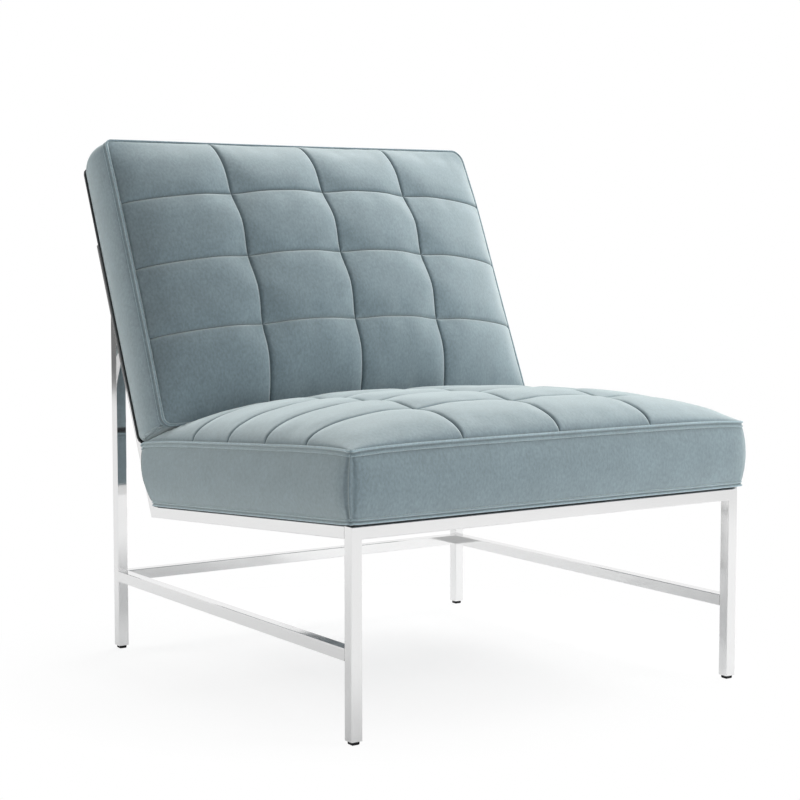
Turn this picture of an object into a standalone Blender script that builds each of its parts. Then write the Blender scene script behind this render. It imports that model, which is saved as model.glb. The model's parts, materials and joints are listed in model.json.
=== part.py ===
"""Armless lounge chair: two biscuit-tufted pads on a frame of polished square tube.

Metres, +Z up. The sitter faces -Y. The origin is on the floor under the middle of the chair.
"""
import math

import bmesh
import bpy
from mathutils import Matrix, Vector

# Frame
TUBE = 0.0166
TUBE_WALL = 0.0015
TUBE_EDGE_RADIUS = 0.001
TUBE_EDGE_SEGMENTS = 2
FRAME_WIDTH = 0.660
SEAT_RAIL_TOP = 0.2788
SEAT_SLOPE = math.radians(4.25)
KINK_DEPTH = 0.5600
BACK_LEAN = math.radians(24.15)
UPRIGHT_LENGTH = 0.4435
LEG_JOINT_REACH = 0.3264
STRETCHER_TOP = 0.1228

# Glides
GLIDE_FOOT = 0.011
GLIDE_HEIGHT = 0.005
GLIDE_CHAMFER = 0.001
GLIDE_PLUG_LENGTH = 0.014
GLIDE_RIB_COUNT = 3
GLIDE_RIB = 0.0016
GLIDE_RIB_STAND = 0.0008

# Bolts
BOLT_RADIUS = 0.003
BOLT_HEAD_RADIUS = 0.00525
BOLT_HEAD_HEIGHT = 0.0033
BOLT_CHAMFER = 0.0006
BOLT_SOCKET_RADIUS = 0.0023
BOLT_SOCKET_DEPTH = 0.0019
BOLT_BITE = 0.016
BOLT_STEPS = 12
BOLT_SOCKET_SIDES = 6
SEAT_BOLT_SHARES = (0.2, 0.8)

# Layers that both pads are built from
BOARD_CORNER_RADIUS = 0.012
BOARD_CORNER_SEGMENTS = 3
WOOD_THICKNESS = 0.020
WOOD_WIDTH = 0.045
WOOD_CHAMFER = 0.006
WEB_THICKNESS = 0.0015
WEB_WIDTH = 0.050
WEB_END_SET_IN = 0.010
COVER_THICKNESS = 0.003
FOAM_EASE = 0.0008
PAD_DRAW_IN = 0.002
PAD_SWELL = 0.0085
SEAM_COLUMN_SHARES = (-0.4795, 0.0, 0.4795)
SEAM_EASE = 0.014
SEAM_REACH = 0.013
CROWN_POWER = 2.2
EDGE_POWER = 6
TUFT_RADIUS = 0.034

# Seat pad, measured in the plane of the seat rails' tops
SEAT_BOARD_THICKNESS = 0.0018
SEAT_BOARD_SET_IN = 0.0005
SEAT_CORNER_RADIUS = 0.005
SEAT_OVERHANG_SIDE = 0.003
SEAT_FRONT_OVERHANG = 0.0045
SEAT_WELT_HEIGHT = 0.0967
SEAT_EDGE_RISE = 0.0038
SEAT_CROWN = 0.067
SEAT_REAR_SET_OFF = 0.0055
SEAT_SEAM_DROP = 0.004
SEAT_TUFT_DROP = 0.004
SEAT_ROW_SHARES = (0.178, 0.358, 0.534, 0.710)
SEAT_WEB_COUNT = 5
PRESS_EASE = 0.070

# Back pad, measured in the plane of the uprights' rear faces
PANEL_THICKNESS = 0.0015
PANEL_SET_IN = 0.008
BACK_BOARD_THICKNESS = 0.0038
BACK_BOARD_OVERHANG = 0.0022
BACK_CORNER_RADIUS = 0.012
BACK_OVERHANG_SIDE = 0.0045
BACK_LOW = 0.1085
BACK_HIGH = 0.569
BACK_LOW_FLARE = 0.003
BACK_HIGH_FLARE = 0.003
BACK_WELT_HEIGHT = 0.112
BACK_EDGE_RISE = 0.002
BACK_CROWN = 0.069
BACK_SEAM_DROP = 0.004
BACK_TUFT_DROP = 0.010
BACK_ROW_SHARES = (0.298, 0.542, 0.776)
BACK_WEB_COUNT = 4

# Flanged welt: cord, groove and flange, as distance along the boxing and stand off it
WELT_LAP = 0.0012
WELT_CORD = 0.0030
WELT_BAND = 0.0090
WELT_STAND = 0.0030
WELT_GROOVE = 0.0012
WELT_FLANGE = 0.0020
WELT_EASE = 0.0006

# Clearance between neighbours, the overrun of every cutter and the weld of turned shapes
GAP = 0.0003
OVERRUN = 0.004
MERGE = 0.00001
SHARP_ANGLE = math.radians(40)

# Places that follow from the sizes above
HALF_FRAME = FRAME_WIDTH / 2
TUBE_LINE = HALF_FRAME - TUBE / 2
KINK_REACH = (KINK_DEPTH - TUBE + TUBE * math.sin(SEAT_SLOPE)) / math.cos(SEAT_SLOPE)
KINK_TURN = BACK_LEAN - SEAT_SLOPE
SEAT_PLANE = Matrix.Translation((0, TUBE, SEAT_RAIL_TOP)) @ Matrix.Rotation(-SEAT_SLOPE, 4, "X")
BACK_PLANE = (Matrix.Translation(SEAT_PLANE @ Vector((0, KINK_REACH, -TUBE)))
              @ Matrix.Rotation(math.pi / 2 - BACK_LEAN, 4, "X"))
FRAME_DEPTH = KINK_DEPTH + LEG_JOINT_REACH * math.sin(BACK_LEAN)
SIDES = {"left": -1, "right": 1}


# Scene, collections and materials

def clear_scene():
    for old in list(bpy.data.objects):
        bpy.data.objects.remove(old, do_unlink=True)


def new_collection(name):
    collection = bpy.data.collections.new(name)
    bpy.context.scene.collection.children.link(collection)
    return collection


def new_material(name, colour, roughness, metallic=0.0):
    material = bpy.data.materials.new(name)
    material.use_nodes = True
    shader = material.node_tree.nodes["Principled BSDF"]
    shader.inputs["Base Color"].default_value = (*colour, 1.0)
    shader.inputs["Roughness"].default_value = roughness
    shader.inputs["Metallic"].default_value = metallic
    material.diffuse_color = (*colour, 1.0)
    return material


clear_scene()
CHAIR = new_collection("tufted_lounge_chair")
CUTTERS = new_collection("cutters")
STEEL = new_material("polished_steel", (0.80, 0.80, 0.80), 0.08, 1.0)
BOLT_STEEL = new_material("bolt_steel", (0.45, 0.45, 0.46), 0.30, 1.0)
PLASTIC = new_material("glide_plastic", (0.012, 0.012, 0.013), 0.45)
BOARD = new_material("black_board", (0.015, 0.015, 0.016), 0.80)
HARDWOOD = new_material("hardwood", (0.50, 0.33, 0.18), 0.65)
WEBBING = new_material("webbing", (0.10, 0.09, 0.08), 0.85)
FOAM = new_material("foam", (0.80, 0.74, 0.55), 0.95)
VELVET = new_material("velvet", (0.25, 0.33, 0.35), 0.75)


def new_empty(name, matrix, parent=None):
    empty = bpy.data.objects.new(name, None)
    CHAIR.objects.link(empty)
    empty.parent = parent
    empty.matrix_local = matrix
    return empty


CENTRE = new_empty("chair_centre", Matrix.Identity(4))
SEAT = new_empty("seat_plane", SEAT_PLANE, CENTRE)
BACK = new_empty("back_plane", BACK_PLANE, CENTRE)


def new_object(name, mesh, material, parent=CENTRE, matrix=Matrix.Identity(4)):
    part = bpy.data.objects.new(name, mesh)
    CHAIR.objects.link(part)
    part.parent = parent
    part.matrix_local = matrix
    mesh.materials.clear()
    mesh.materials.append(material)
    return part


def new_cutter(name, mesh, parent=CENTRE, matrix=Matrix.Identity(4)):
    cutter = bpy.data.objects.new(name, mesh)
    CUTTERS.objects.link(cutter)
    cutter.parent = parent
    cutter.matrix_local = matrix
    cutter.hide_render = True
    cutter.display_type = "WIRE"
    return cutter


def cut(part, cutter):
    modifier = part.modifiers.new(cutter.name, "BOOLEAN")
    modifier.operation = "DIFFERENCE"
    modifier.solver = "EXACT"
    modifier.object = cutter


def to_mesh(bm, name, smooth=False):
    bmesh.ops.recalc_face_normals(bm, faces=bm.faces)
    mesh = bpy.data.meshes.new(name)
    bm.to_mesh(mesh)
    bm.free()
    if smooth:
        mesh.shade_smooth()
        mesh.set_sharp_from_angle(angle=SHARP_ANGLE)
    return mesh


# Plain shapes

def box(size, centre):
    bm = bmesh.new()
    bmesh.ops.create_cube(bm, size=1.0)
    bmesh.ops.scale(bm, vec=size, verts=bm.verts)
    bmesh.ops.translate(bm, vec=centre, verts=bm.verts)
    return bm


def edges_along(bm, axis):
    return [edge for edge in bm.edges
            if abs((edge.verts[0].co - edge.verts[1].co).normalized()[axis]) > 0.99]


def rounded_box(size, centre, axis, radius, segments):
    bm = box(size, centre)
    bmesh.ops.bevel(bm, geom=edges_along(bm, axis), offset=radius, segments=segments,
                    profile=0.5, affect="EDGES")
    return bm


def trim(bm, point, normal):
    """Cut off what lies beyond the plane and close the cut with one face."""
    everything = bm.verts[:] + bm.edges[:] + bm.faces[:]
    bmesh.ops.bisect_plane(bm, geom=everything, plane_co=point, plane_no=normal,
                           clear_outer=True)
    rim = [edge for edge in bm.edges if edge.is_boundary]
    bmesh.ops.contextual_create(bm, geom=rim)


# Steel frame

def square_tube(name, start, end, flat, trims):
    """Square tube from start to end, open at both ends.

    flat is the direction that one of its sides faces, and each trim is a point and a normal.
    """
    run = end - start
    turn = Matrix((flat, run.normalized().cross(flat), run.normalized())).transposed()
    matrix = Matrix.Translation((start + end) / 2) @ turn.to_4x4()
    length = run.length + 2 * TUBE
    bar = rounded_box((TUBE, TUBE, length), (0, 0, 0), 2, TUBE_EDGE_RADIUS, TUBE_EDGE_SEGMENTS)
    inverse = matrix.inverted()
    for point, normal in trims:
        trim(bar, inverse @ point, inverse.to_3x3() @ normal)
    tube = new_object(name, to_mesh(bar, name), STEEL, matrix=matrix)
    bore = TUBE - 2 * TUBE_WALL
    core = box((bore, bore, length + 2 * OVERRUN), (0, 0, 0))
    cut(tube, new_cutter(f"{name}_bore", to_mesh(core, f"{name}_bore"), matrix=matrix))
    return tube


def shrink(point, normal):
    """A trimming plane set back by half the clearance of a joint."""
    return point - normal * GAP / 2, normal


def butt(point, normal):
    """A trimming plane set back by the whole clearance from a neighbour's face."""
    return point - normal * GAP, normal


def direction(matrix, vector):
    return (matrix.to_3x3() @ Vector(vector)).normalized()


X = Vector((1, 0, 0))
Y = Vector((0, 1, 0))
Z = Vector((0, 0, 1))
RAIL_RUN = direction(SEAT_PLANE, (0, 1, 0))
UPRIGHT_RUN = direction(BACK_PLANE, (0, 1, 0))
UPRIGHT_FACE = direction(BACK_PLANE, (0, 0, 1))
KINK = BACK_PLANE.translation


def front_frame():
    """Front legs and front rail, mitred in the plane of the front."""
    line = Vector((0, TUBE / 2, 0))
    top = Z * SEAT_RAIL_TOP
    for side, sign in SIDES.items():
        foot = line + X * sign * TUBE_LINE + Z * GLIDE_HEIGHT
        corner = X * sign * HALF_FRAME + top
        mitre = (X * sign + Z).normalized()
        square_tube(f"front_leg_{side}", foot, foot + top, X,
                    [(foot, -Z), shrink(corner, (Z - X * sign).normalized()), (corner, mitre)])
    rail = line + top - Z * TUBE / 2
    mitres = [shrink(X * sign * HALF_FRAME + top, (X * sign - Z).normalized())
              for sign in SIDES.values()]
    square_tube("seat_rail_front", rail - X * HALF_FRAME, rail + X * HALF_FRAME, Y, mitres)


def side_frames():
    """Sloping side rails and leaning uprights, mitred at the kink."""
    bend = (-RAIL_RUN - UPRIGHT_RUN).normalized()
    top_corner = KINK + UPRIGHT_RUN * UPRIGHT_LENGTH
    for side, sign in SIDES.items():
        start = SEAT_PLANE @ Vector((sign * TUBE_LINE, 0, -TUBE / 2))
        end = SEAT_PLANE @ Vector((sign * TUBE_LINE, KINK_REACH, -TUBE / 2))
        square_tube(f"seat_rail_{side}", start, end, X,
                    [butt(Y * TUBE, -Y), shrink(KINK, -bend)])
        low = BACK_PLANE @ Vector((sign * TUBE_LINE, 0, TUBE / 2))
        high = BACK_PLANE @ Vector((sign * TUBE_LINE, UPRIGHT_LENGTH, TUBE / 2))
        corner = top_corner + X * sign * HALF_FRAME
        square_tube(f"back_upright_{side}", low, high, X,
                    [shrink(KINK, bend), shrink(corner, (UPRIGHT_RUN - X * sign).normalized())])


def cross_rails():
    """Top rail between the uprights and rear rail between the side rails."""
    top_corner = KINK + UPRIGHT_RUN * UPRIGHT_LENGTH
    line = BACK_PLANE @ Vector((0, UPRIGHT_LENGTH - TUBE / 2, TUBE / 2))
    mitres = [shrink(top_corner + X * sign * HALF_FRAME, (X * sign - UPRIGHT_RUN).normalized())
              for sign in SIDES.values()]
    square_tube("back_rail_top", line - X * HALF_FRAME, line + X * HALF_FRAME, UPRIGHT_RUN, mitres)
    inner_kink = KINK_REACH - TUBE * math.tan(math.pi / 4 - KINK_TURN / 2)
    line = SEAT_PLANE @ Vector((0, inner_kink - TUBE / 2, -TUBE / 2))
    inner = HALF_FRAME - TUBE
    ends = [butt(X * sign * inner, X * sign) for sign in SIDES.values()]
    square_tube("seat_rail_rear", line - X * inner, line + X * inner, RAIL_RUN, ends)


def rear_legs():
    """Upright rear legs, coped to the rear face of the leaning uprights."""
    for side, sign in SIDES.items():
        foot = Vector((sign * TUBE_LINE, FRAME_DEPTH - TUBE / 2, GLIDE_HEIGHT))
        head = foot + Z * (KINK.z + LEG_JOINT_REACH * math.cos(BACK_LEAN))
        square_tube(f"rear_leg_{side}", foot, head, X,
                    [(foot, -Z), butt(KINK, UPRIGHT_FACE)])


def stretchers():
    """Low stretchers between the legs at both sides and at the rear."""
    height = Z * (STRETCHER_TOP - TUBE / 2)
    front = Y * TUBE
    rear = Y * (FRAME_DEPTH - TUBE)
    for side, sign in SIDES.items():
        line = X * sign * TUBE_LINE + height
        square_tube(f"side_stretcher_{side}", line + front, line + rear, X,
                    [butt(front, -Y), butt(rear, Y)])
    inner = HALF_FRAME - TUBE
    line = Y * (FRAME_DEPTH - TUBE / 2) + height
    ends = [butt(X * sign * inner, X * sign) for sign in SIDES.values()]
    square_tube("rear_stretcher", line - X * inner, line + X * inner, Y, ends)


def glide_mesh():
    """Square insert: chamfered foot below the tube, ribbed plug inside it."""
    plug = TUBE - 2 * TUBE_WALL - 2 * GAP
    core = plug - 2 * GLIDE_RIB_STAND
    pitch = GLIDE_PLUG_LENGTH / GLIDE_RIB_COUNT
    sections = [(0, GLIDE_FOOT - 2 * GLIDE_CHAMFER), (GLIDE_CHAMFER, GLIDE_FOOT),
                (GLIDE_HEIGHT, GLIDE_FOOT), (GLIDE_HEIGHT, core)]
    for rib in range(GLIDE_RIB_COUNT):
        top = GLIDE_HEIGHT + (rib + 1) * pitch
        sections += [(top - 2 * GLIDE_RIB, core), (top - GLIDE_RIB, plug), (top, core)]
    bm = bmesh.new()
    rings = []
    for height, side in sections:
        half = side / 2
        corners = [(-half, -half), (half, -half), (half, half), (-half, half)]
        rings.append([bm.verts.new((x, y, height)) for x, y in corners])
    for lower, upper in zip(rings, rings[1:]):
        for i in range(4):
            bm.faces.new((lower[i - 1], lower[i], upper[i], upper[i - 1]))
    bm.faces.new(rings[0])
    bm.faces.new(rings[-1])
    return to_mesh(bm, "glide")


def glides():
    mesh = glide_mesh()
    for end, depth in (("front", TUBE / 2), ("rear", FRAME_DEPTH - TUBE / 2)):
        for side, sign in SIDES.items():
            matrix = Matrix.Translation((sign * TUBE_LINE, depth, 0))
            new_object(f"glide_{end}_{side}", mesh, PLASTIC, matrix=matrix)


# Pads

TOP_LEVEL = 3


def smooth_step(share):
    share = min(max(share, 0.0), 1.0)
    return share * share * (3 - 2 * share)


def grid_lines(low, seams, high, corner, fold=None):
    """Grid lines across a pad: its edges, its corner rounds, its seams and the panels between.

    fold takes the place of the line across the last panel.
    """
    lines = [low, low + corner]
    marks = [low, *seams, high]
    for left, right in zip(marks, marks[1:]):
        if left != low:
            lines += [left, left + SEAM_EASE]
        lines.append((left + right) / 2)
        if right != high:
            lines.append(right - SEAM_EASE)
    if fold is not None:
        lines[-1] = fold
    return lines + [high - corner, high]


class Pad:
    """A boxed cushion with a crowned, tufted top, in its own plane.

    x runs across, y along and z out of the plane. low and high give the ends of the pad as
    functions of height, ceiling the greatest height that the other pad leaves it, and fold the
    line where that begins.
    """

    def __init__(self, half_width, corner, low, high, board_foot, board, welt, rise, crown,
                 seam_drop, tuft_drop, row_shares, swells, ceiling=None, fold=None):
        self.half_width = half_width
        self.corner = corner
        self.low = low
        self.high = high
        self.board_foot = board_foot
        self.board = board
        self.foot = board_foot + board + GAP
        self.foam_foot = self.foot + WOOD_THICKNESS + WEB_THICKNESS + 2 * GAP
        self.welt = welt
        self.rise = rise
        self.crown = crown
        self.seam_drop = seam_drop
        self.tuft_drop = tuft_drop
        self.swells = swells
        self.ceiling = ceiling
        start, stop = low(welt), high(welt)
        self.seam_columns = [share * half_width for share in SEAM_COLUMN_SHARES]
        self.seam_rows = [start + share * (stop - start) for share in row_shares]
        self.columns = grid_lines(-half_width, self.seam_columns, half_width, corner)
        self.rows = grid_lines(start, self.seam_rows, stop, corner, fold)

    def edge_shares(self, x, y):
        """How far out of the middle a point lies, as shares of the half sizes."""
        start, stop = self.low(self.welt), self.high(self.welt)
        across = min(abs(x) / self.half_width, 1.0)
        along = min(abs(2 * y - start - stop) / (stop - start), 1.0)
        return across, along

    def top(self, x, y):
        """Height of the tufted top."""
        across, along = self.edge_shares(x, y)
        dome = math.sqrt((1 - across ** CROWN_POWER) * (1 - along ** CROWN_POWER))
        height = self.welt + self.rise * (1 - (across * along) ** EDGE_POWER) + self.crown * dome
        to_column = min(abs(x - seam) for seam in self.seam_columns)
        to_row = min(abs(y - seam) for seam in self.seam_rows)
        groove = max(math.exp(-(to_column / SEAM_REACH) ** 2), math.exp(-(to_row / SEAM_REACH) ** 2))
        tuft = math.exp(-(to_column ** 2 + to_row ** 2) / TUFT_RADIUS ** 2)
        fade = (1 - across ** 8) * (1 - along ** 8)
        height -= fade * (self.seam_drop * groove + self.tuft_drop * tuft)
        return self.ceiling(y, height) if self.ceiling else height

    def plan(self, column, row, height, inset):
        """Place of a grid point at a height, on the pad drawn in by inset."""
        half = self.half_width - inset
        low = self.low(height) + inset
        high = self.high(height) - inset
        start, stop = self.rows[0], self.rows[-1]
        x = self.columns[column] * half / self.half_width
        y = low + (self.rows[row] - start) * (high - low) / (stop - start)
        radius = max(self.corner - inset, MERGE)
        over_x = max(abs(x) - half + radius, 0.0) / radius
        over_y = max(low + radius - y, y - high + radius, 0.0) / radius
        if over_x and over_y:
            pull_x = radius * over_x * (1 - math.sqrt(1 - over_y ** 2 / 2))
            pull_y = radius * over_y * (1 - math.sqrt(1 - over_x ** 2 / 2))
            x -= math.copysign(pull_x, x)
            y -= math.copysign(pull_y, y - (low + high) / 2)
        return x, y

    def outward(self, column, row):
        """Outward direction of the boxing at a grid point of the edge."""
        x = (column == len(self.columns) - 1) - (column == 0)
        y = (row == len(self.rows) - 1) - (row == 0)
        return Vector((x, y, 0)).normalized()

    def surface(self, column, row, inset):
        """Point of the top."""
        x, y = self.columns[column], self.rows[row]
        height = self.top(x, y) - inset
        plan_x, plan_y = self.plan(column, row, self.welt, inset)
        out = self.outward(column, row)
        pull = PAD_DRAW_IN * (1 - self.edge_shares(x, y)[1 if out.x else 0] ** 2)
        return Vector((plan_x, plan_y, height)) - out * pull

    def boxing(self, column, row, height, inset):
        """Point of the side between the foot and the welt."""
        edge = self.top(self.columns[column], self.rows[row])
        share = (height - self.foot) / (edge - self.foot)
        plan_x, plan_y = self.plan(column, row, height, inset)
        out = self.outward(column, row)
        front, rear, side = self.swells
        swell = math.sin(math.pi * share)
        shift = Vector((out.x * side, out.y * (rear if out.y > 0 else front), 0)) * swell
        pull = PAD_DRAW_IN * share
        pull *= 1 - self.edge_shares(self.columns[column], self.rows[row])[1 if out.x else 0] ** 2
        return Vector((plan_x, plan_y, height)) + shift - out * pull

    def side_heights(self, column, row):
        """Heights at which the boxing bends: foot, foam's foot and halfway to the welt."""
        edge = self.top(self.columns[column], self.rows[row])
        return [self.foot, self.foam_foot, (self.foam_foot + edge) / 2]

    def perimeter(self):
        """Grid points of the edge, in order round the pad."""
        last_column = len(self.columns) - 1
        last_row = len(self.rows) - 1
        points = [(i, 0) for i in range(last_column)]
        points += [(last_column, j) for j in range(last_row)]
        points += [(last_column - i, last_row) for i in range(last_column)]
        points += [(0, last_row - j) for j in range(last_row)]
        return points

    def point(self, vert, layers, inset):
        """Place of a sheet's point, from its column, row and level."""
        column, row, level = (vert[layer] for layer in layers)
        if level == TOP_LEVEL:
            return self.surface(column, row, inset)
        return self.boxing(column, row, self.side_heights(column, row)[level], inset)

    def sheet(self, inset, first_level):
        """Top and boxing as one open sheet that ends at a level of side_heights."""
        bm = bmesh.new()
        last_column = len(self.columns) - 1
        last_row = len(self.rows) - 1
        bmesh.ops.create_grid(bm, x_segments=last_column, y_segments=last_row, size=1)
        layers = [bm.verts.layers.int.new(name) for name in ("column", "row", "level")]
        for vert in bm.verts:
            vert[layers[0]] = round((vert.co.x + 1) / 2 * last_column)
            vert[layers[1]] = round((vert.co.y + 1) / 2 * last_row)
            vert[layers[2]] = TOP_LEVEL
            vert.co = self.point(vert, layers, inset)
        for level in reversed(range(first_level, TOP_LEVEL)):
            rim = [edge for edge in bm.edges if edge.is_boundary]
            made = bmesh.ops.extrude_edge_only(bm, edges=rim)["geom"]
            for vert in (item for item in made if isinstance(item, bmesh.types.BMVert)):
                vert[layers[2]] = level
                vert.co = self.point(vert, layers, inset)
        return bm, layers

    def cover(self, name):
        """Sewn cover: top and boxing with a thickness, open at the foot."""
        bm, layers = self.sheet(0.0, 0)
        made = bmesh.ops.solidify(bm, geom=bm.faces[:], thickness=COVER_THICKNESS)["geom"]
        for vert in (item for item in made if isinstance(item, bmesh.types.BMVert)):
            vert.co = self.point(vert, layers, COVER_THICKNESS)
        return to_mesh(bm, name, smooth=True)

    def foam(self, name):
        """Foam block that fills the cover above the webbing."""
        bm, layers = self.sheet(COVER_THICKNESS + FOAM_EASE, 1)
        rim = [edge for edge in bm.edges if edge.is_boundary]
        bmesh.ops.contextual_create(bm, geom=rim)
        return to_mesh(bm, name, smooth=True)

    def welt_ring(self, name, at_top):
        """Flanged welt on the boxing, along the top edge or along the foot."""
        profile = [(-WELT_LAP, WELT_STAND / 2), (0, WELT_STAND), (WELT_CORD / 2, WELT_STAND),
                   (WELT_CORD, WELT_GROOVE), (WELT_BAND - WELT_FLANGE / 2, WELT_FLANGE),
                   (WELT_BAND, 0), (0, 0)]
        rings = []
        bm = bmesh.new()
        for place in self.perimeter():
            heights = self.side_heights(*place)
            if at_top:
                edge = self.surface(*place, 0.0)
                inner = self.boxing(*place, heights[2], 0.0)
            else:
                edge = self.boxing(*place, heights[0] + WELT_LAP, 0.0)
                inner = self.boxing(*place, heights[1], 0.0)
            along = (inner - edge).normalized()
            out = self.outward(*place)
            out = (out - along * out.dot(along)).normalized()
            rings.append([bm.verts.new(edge + along * reach + out * (WELT_EASE + stand))
                          for reach, stand in profile])
        count = len(profile)
        for ring, following in zip(rings, rings[1:] + rings[:1]):
            for i in range(count):
                bm.faces.new((ring[i - 1], ring[i], following[i], following[i - 1]))
        return to_mesh(bm, name, smooth=True)


def seat_front(height):
    """Front end of the seat pad, upright like the front legs."""
    return -TUBE - SEAT_FRONT_OVERHANG - height * math.tan(SEAT_SLOPE)


def seat_rear(height):
    """Rear end of the seat pad, parallel to the back and set off from the uprights."""
    set_off = TUBE + SEAT_REAR_SET_OFF
    climb = height + TUBE - set_off * math.sin(KINK_TURN)
    return KINK_REACH - set_off * math.cos(KINK_TURN) + math.tan(KINK_TURN) * climb


def back_low(height):
    return BACK_LOW + BACK_LOW_FLARE * (BACK_WELT_HEIGHT - height) / BACK_WELT_HEIGHT


def back_high(height):
    return BACK_HIGH - BACK_HIGH_FLARE * (BACK_WELT_HEIGHT - height) / BACK_WELT_HEIGHT


def in_seat_plane(reach, height):
    """A point of the back's plane, given in the seat's plane."""
    point = SEAT_PLANE.inverted() @ BACK_PLANE @ Vector((0, reach, height))
    return point.y, point.z


def pressed_by_back(reach, height):
    """Height of the seat's top where the back pad rests on it."""
    front, front_height = in_seat_plane(back_low(BACK_WELT_HEIGHT), BACK_WELT_HEIGHT)
    rear, rear_height = in_seat_plane(back_low(0), 0)
    slope = (front_height - rear_height) / (rear - front)
    room = WELT_STAND + 3 * GAP
    limit = front_height + (front - reach) * slope - room
    blend = smooth_step((reach - front + PRESS_EASE) / PRESS_EASE)
    return height + blend * (min(height, limit) - height)


SEAT_PAD = Pad(half_width=HALF_FRAME + SEAT_OVERHANG_SIDE,
               corner=SEAT_CORNER_RADIUS,
               low=seat_front,
               high=seat_rear,
               board_foot=GAP,
               board=SEAT_BOARD_THICKNESS,
               welt=SEAT_WELT_HEIGHT,
               rise=SEAT_EDGE_RISE,
               crown=SEAT_CROWN,
               seam_drop=SEAT_SEAM_DROP,
               tuft_drop=SEAT_TUFT_DROP,
               row_shares=SEAT_ROW_SHARES,
               swells=(PAD_SWELL, 0.0, PAD_SWELL),
               ceiling=pressed_by_back,
               fold=in_seat_plane(back_low(BACK_WELT_HEIGHT), BACK_WELT_HEIGHT)[0])
BACK_PAD = Pad(half_width=HALF_FRAME + BACK_OVERHANG_SIDE,
               corner=BACK_CORNER_RADIUS,
               low=back_low,
               high=back_high,
               board_foot=TUBE + PANEL_THICKNESS + 2 * GAP,
               board=BACK_BOARD_THICKNESS,
               welt=BACK_WELT_HEIGHT,
               rise=BACK_EDGE_RISE,
               crown=BACK_CROWN,
               seam_drop=BACK_SEAM_DROP,
               tuft_drop=BACK_TUFT_DROP,
               row_shares=BACK_ROW_SHARES,
               swells=(0.0, PAD_SWELL, PAD_SWELL))


def plate(name, pad, foot, thickness, set_in, material, parent):
    """Flat board or panel behind a pad, following its outline."""
    half = pad.half_width - set_in
    low = max(pad.low(foot), pad.low(pad.foot)) + set_in
    high = min(pad.high(foot), pad.high(pad.foot)) - set_in
    bm = rounded_box((2 * half, high - low, thickness),
                     (0, (low + high) / 2, foot + thickness / 2), 2, BOARD_CORNER_RADIUS,
                     BOARD_CORNER_SEGMENTS)
    return new_object(name, to_mesh(bm, name), material, parent)


def wood_frame(prefix, pad, parent, ends):
    """Four hardwood rails inside the foot of a pad: long sides, and the two ends between them."""
    inset = COVER_THICKNESS + PAD_DRAW_IN + GAP
    half = pad.half_width - inset
    low = max(pad.low(pad.foot), pad.low(pad.foam_foot)) + inset
    high = min(pad.high(pad.foot), pad.high(pad.foam_foot)) - inset
    level = pad.foot + WOOD_THICKNESS / 2
    rails = {}
    for side, sign in SIDES.items():
        name = f"{prefix}_wood_{side}"
        centre = sign * (half - WOOD_WIDTH / 2)
        bm = box((WOOD_WIDTH, high - low, WOOD_THICKNESS), (centre, (low + high) / 2, level))
        outer = [edge for edge in edges_along(bm, 2) if sign * (edge.verts[0].co.x - centre) > 0]
        bmesh.ops.bevel(bm, geom=outer, offset=WOOD_CHAMFER, segments=1, affect="EDGES")
        rails[side] = new_object(name, to_mesh(bm, name), HARDWOOD, parent)
    length = 2 * (half - WOOD_WIDTH - GAP)
    for end, middle in zip(ends, (low + WOOD_WIDTH / 2, high - WOOD_WIDTH / 2)):
        name = f"{prefix}_wood_{end}"
        bm = box((length, WOOD_WIDTH, WOOD_THICKNESS), (0, middle, level))
        new_object(name, to_mesh(bm, name), HARDWOOD, parent)
    return rails, half, low + WOOD_WIDTH, high - WOOD_WIDTH


def webbing(prefix, pad, parent, half, low, high, count):
    """Straps across the wood frame, spread evenly over its opening."""
    level = pad.foot + WOOD_THICKNESS + GAP + WEB_THICKNESS / 2
    pitch = (high - low) / count
    for i in range(count):
        name = f"{prefix}_webbing_{i + 1}"
        bm = box((2 * (half - WEB_END_SET_IN), WEB_WIDTH, WEB_THICKNESS),
                 (0, low + pitch * (i + 0.5), level))
        new_object(name, to_mesh(bm, name), WEBBING, parent)


# Bolts

def bolt_mesh(length):
    """Button-head bolt along +Z, its head under the origin, with a six-sided socket."""
    foot = -BOLT_HEAD_HEIGHT
    outline = [(0, length), (BOLT_RADIUS - BOLT_CHAMFER, length),
               (BOLT_RADIUS, length - BOLT_CHAMFER), (BOLT_RADIUS, 0), (BOLT_HEAD_RADIUS, 0),
               (BOLT_HEAD_RADIUS, foot / 3), (BOLT_HEAD_RADIUS * 2 / 3, foot), (0, foot)]
    profile = bpy.data.meshes.new("bolt_profile")
    points = [(radius, 0, height) for radius, height in outline]
    profile.from_pydata(points, [(i, i + 1) for i in range(len(points) - 1)], [])
    bolt = bpy.data.objects.new("bolt_blank", profile)
    CUTTERS.objects.link(bolt)
    turn = bolt.modifiers.new("turned", "SCREW")
    turn.steps = BOLT_STEPS
    turn.render_steps = BOLT_STEPS
    turn.use_merge_vertices = True
    turn.merge_threshold = MERGE
    socket_mesh = bmesh.new()
    bmesh.ops.create_cone(socket_mesh, cap_ends=True, segments=BOLT_SOCKET_SIDES,
                          radius1=BOLT_SOCKET_RADIUS, radius2=BOLT_SOCKET_RADIUS,
                          depth=2 * BOLT_SOCKET_DEPTH)
    socket = new_cutter("bolt_socket", to_mesh(socket_mesh, "bolt_socket"), parent=None,
                        matrix=Matrix.Translation((0, 0, foot)))
    cut(bolt, socket)
    bpy.context.view_layer.update()
    graph = bpy.context.evaluated_depsgraph_get()
    mesh = bpy.data.meshes.new_from_object(bolt.evaluated_get(graph))
    mesh.shade_smooth()
    mesh.set_sharp_from_angle(angle=SHARP_ANGLE)
    bpy.data.objects.remove(bolt)
    bpy.data.objects.remove(socket)
    return mesh


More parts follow.
